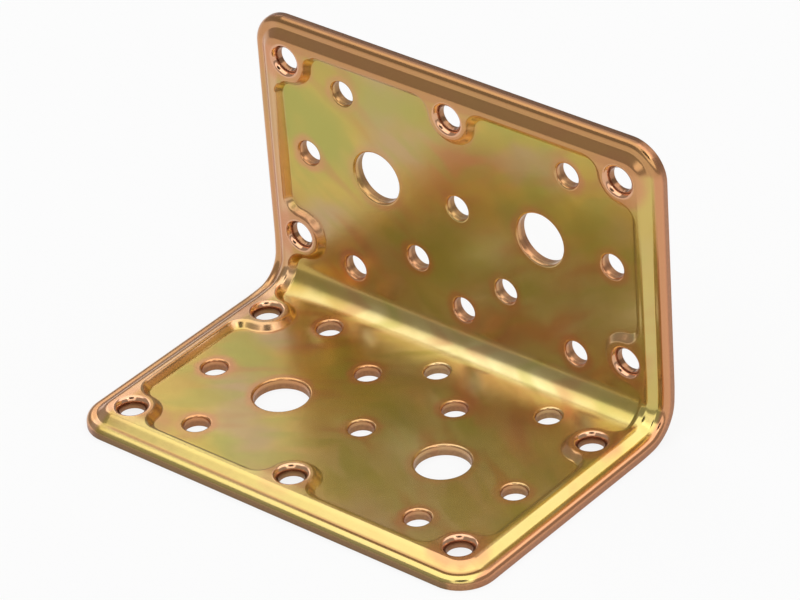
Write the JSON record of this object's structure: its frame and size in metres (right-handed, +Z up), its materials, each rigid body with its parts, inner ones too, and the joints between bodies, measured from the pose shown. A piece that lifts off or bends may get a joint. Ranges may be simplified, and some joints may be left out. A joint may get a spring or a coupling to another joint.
{
  "type": "corner connecting plate",
  "caption": "Right-angled steel connecting plate with a raised bead round each leaf, rounded corners, and countersunk screw holes, nail holes and bolt holes.",
  "frame": {"origin": "on the underside of the base leaf, at the middle of the length and halfway between the back of the upright leaf and the free edge of the base leaf", "axes": "+X along the fold, +Y from the free edge of the base leaf towards the back of the upright leaf, +Z up along the upright leaf"},
  "size_m": [0.1, 0.065, 0.065],
  "materials": {
    "chromated_steel": "zinc plated with a glossy yellow iridescent chromate"
  },
  "bodies": {
    "root": {"corner_plate": "chromated_steel"}
  },
  "joints": []
}
